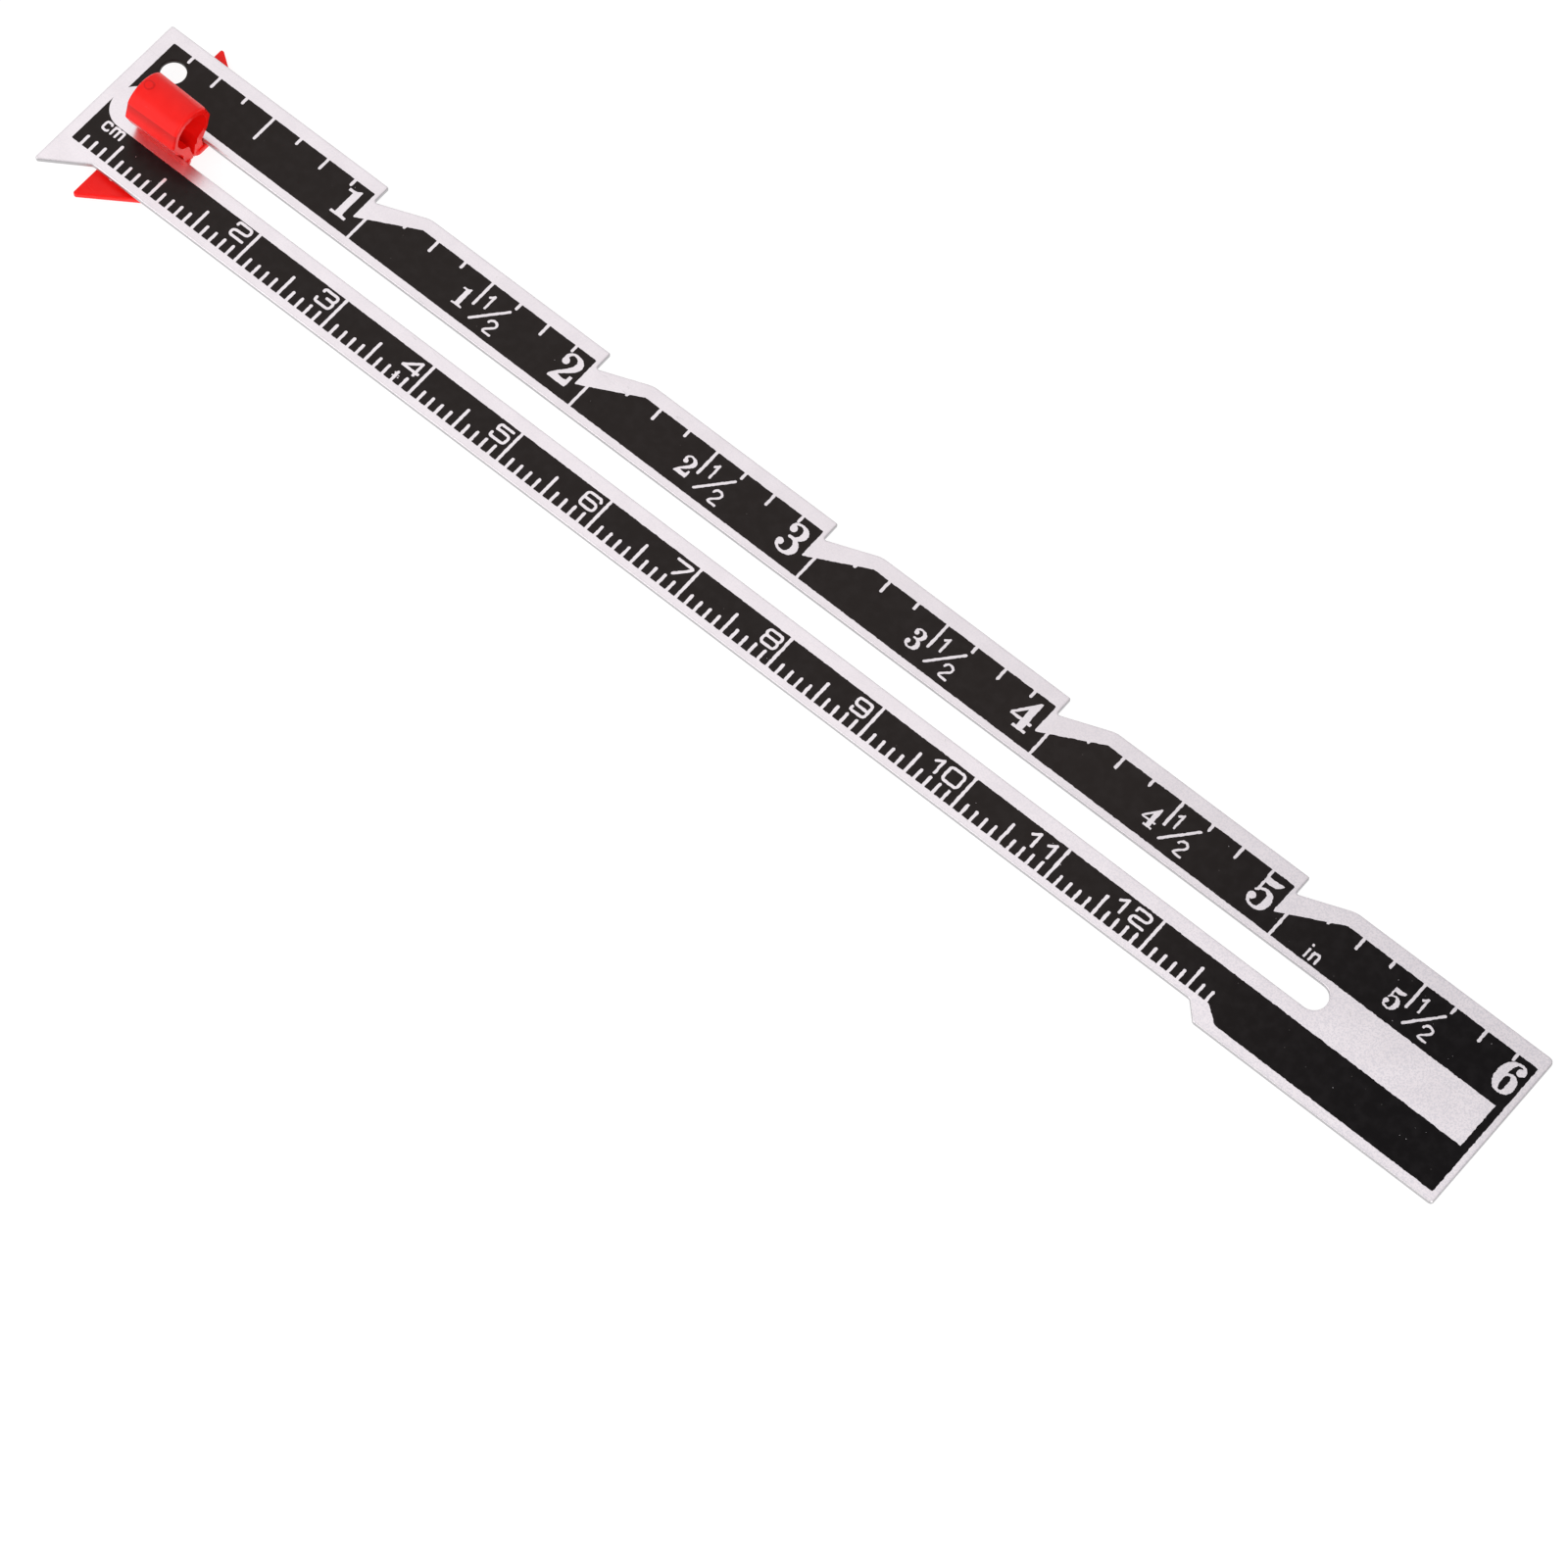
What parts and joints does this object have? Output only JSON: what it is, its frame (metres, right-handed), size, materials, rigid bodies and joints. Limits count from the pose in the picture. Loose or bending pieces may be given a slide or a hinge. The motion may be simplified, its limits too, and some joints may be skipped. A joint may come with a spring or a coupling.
{
  "type": "sewing gauge",
  "caption": "Short flat sewing ruler with inch notches along one edge and a long slot that carries a sliding plastic marker with a split tube and two wings.",
  "frame": {"origin": "zero end of the blade, on the slot's centre line, halfway through the blade's thickness", "axes": "+X along the blade from the zero end to the far end, +Y towards the notched inch edge, +Z out of the face that carries the scales and the tube"},
  "size_m": [0.1524, 0.0192, 0.0072],
  "materials": {
    "blade": "satin",
    "slider": "glossy moulded"
  },
  "bodies": {
    "blade": {"blade": "blade"},
    "slider": {"slider": "slider"}
  },
  "joints": [
    {"name": "slider_slide", "type": "slide", "parent": "blade", "child": "slider", "axis": [1, 0, 0], "range_m": [-0.0004, 0.1243]}
  ]
}
